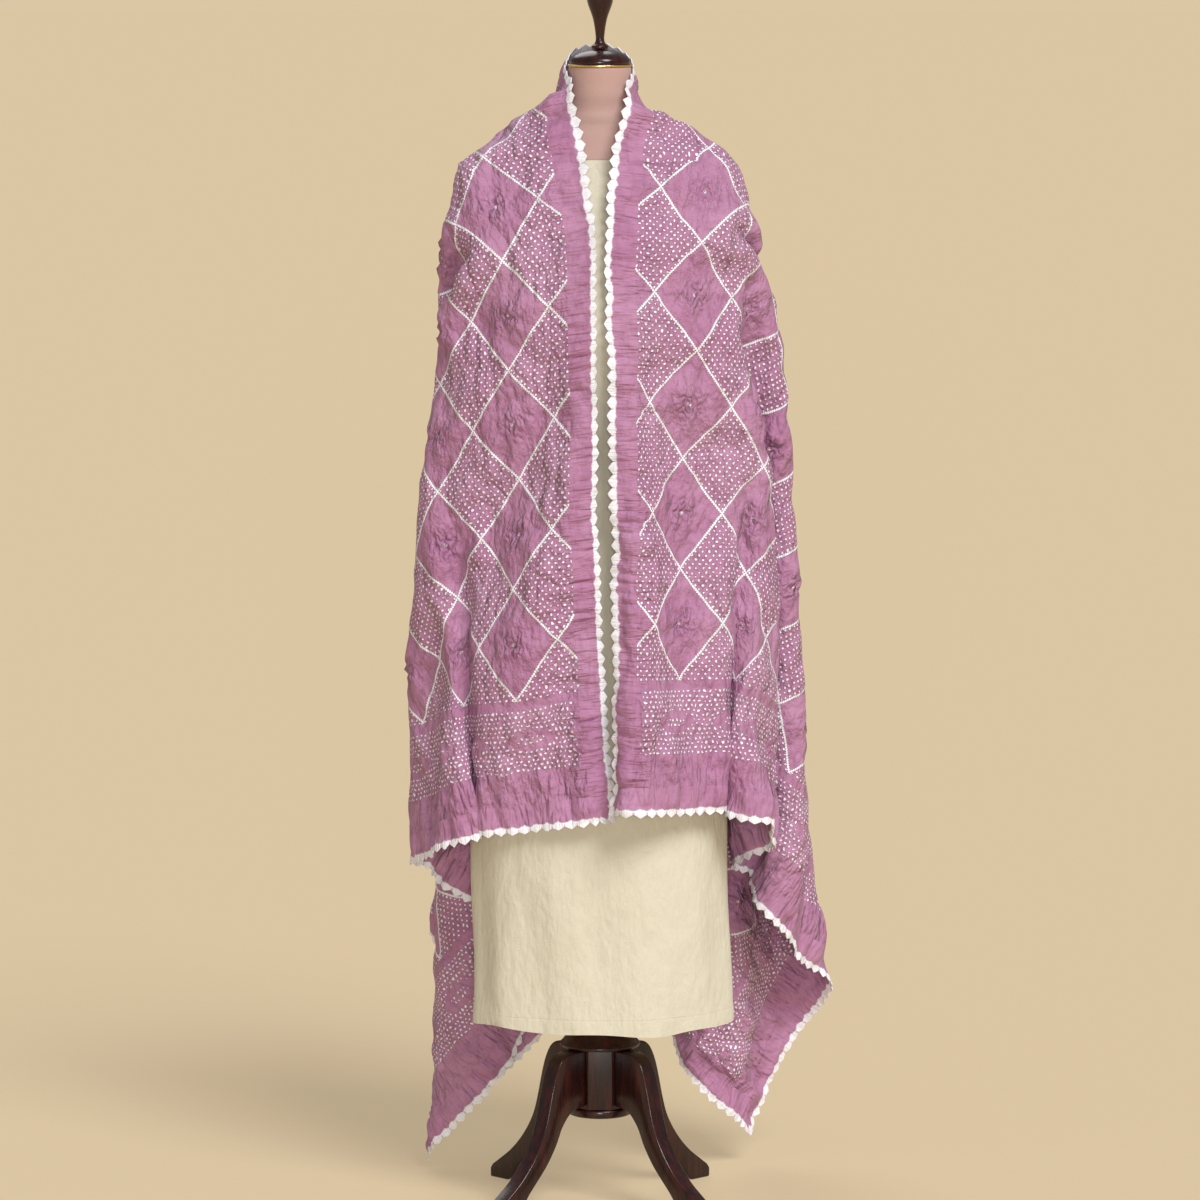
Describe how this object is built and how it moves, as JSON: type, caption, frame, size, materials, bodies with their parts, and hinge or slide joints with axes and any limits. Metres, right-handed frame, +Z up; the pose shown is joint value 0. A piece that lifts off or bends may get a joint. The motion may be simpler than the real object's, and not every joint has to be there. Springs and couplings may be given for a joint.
{
  "type": "bandhani shawl on a dress form",
  "caption": "Mauve tie-dyed shawl with a dotted diamond lattice and a white scalloped edge, draped over a plain cream dress form on a dark turned stand with curved legs.",
  "frame": {"origin": "on the floor, under the middle of the object's box", "axes": "+Z up, the form faces -Y, +X to the viewer's right"},
  "size_m": [0.5946, 0.528, 1.6659],
  "materials": {
    "cloth": "soft matte cloth, mauve with white tie-dye dots",
    "cover": "plain cream cloth cover",
    "neck": "matte beige",
    "brass": "polished",
    "dark_wood": "dark, glossy varnish"
  },
  "bodies": {
    "root": {"shawl": "cloth", "form_body": "cover", "form_neck": "neck", "neck_ring": "brass", "neck_cap": "dark_wood", "finial": "dark_wood", "hub_collar": "dark_wood", "hub_post": "dark_wood", "hub_foot": "dark_wood", "leg_1": "dark_wood", "leg_2": "dark_wood", "leg_3": "dark_wood", "leg_4": "dark_wood"}
  },
  "joints": []
}
